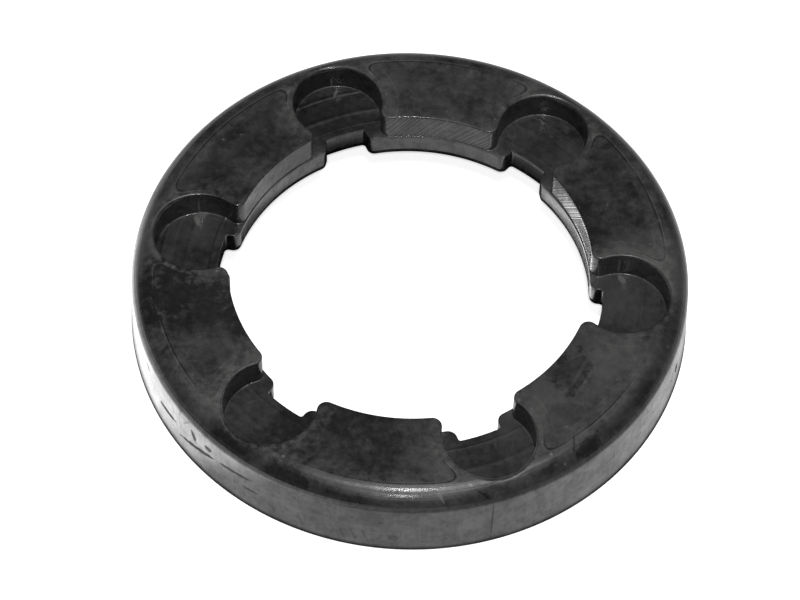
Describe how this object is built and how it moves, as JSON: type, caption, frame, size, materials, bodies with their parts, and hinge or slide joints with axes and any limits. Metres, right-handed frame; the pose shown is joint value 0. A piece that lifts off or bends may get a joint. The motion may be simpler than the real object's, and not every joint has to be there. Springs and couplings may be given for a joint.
{
  "type": "coil spring insulator",
  "caption": "Moulded rubber ring that seats the end of a coil spring, with a rounded outer skirt, raised pads parted by round pockets, and a notched inner flange.",
  "frame": {"origin": "on the ring's axis, in the plane of the skirt's rim that it stands on", "axes": "+Z along the ring's axis from the rim to the pads; +X through the middle of one pocket"},
  "size_m": [0.15, 0.15, 0.0217],
  "materials": {
    "rubber": "satin"
  },
  "bodies": {
    "root": {"insulator_ring": "rubber"}
  },
  "joints": []
}
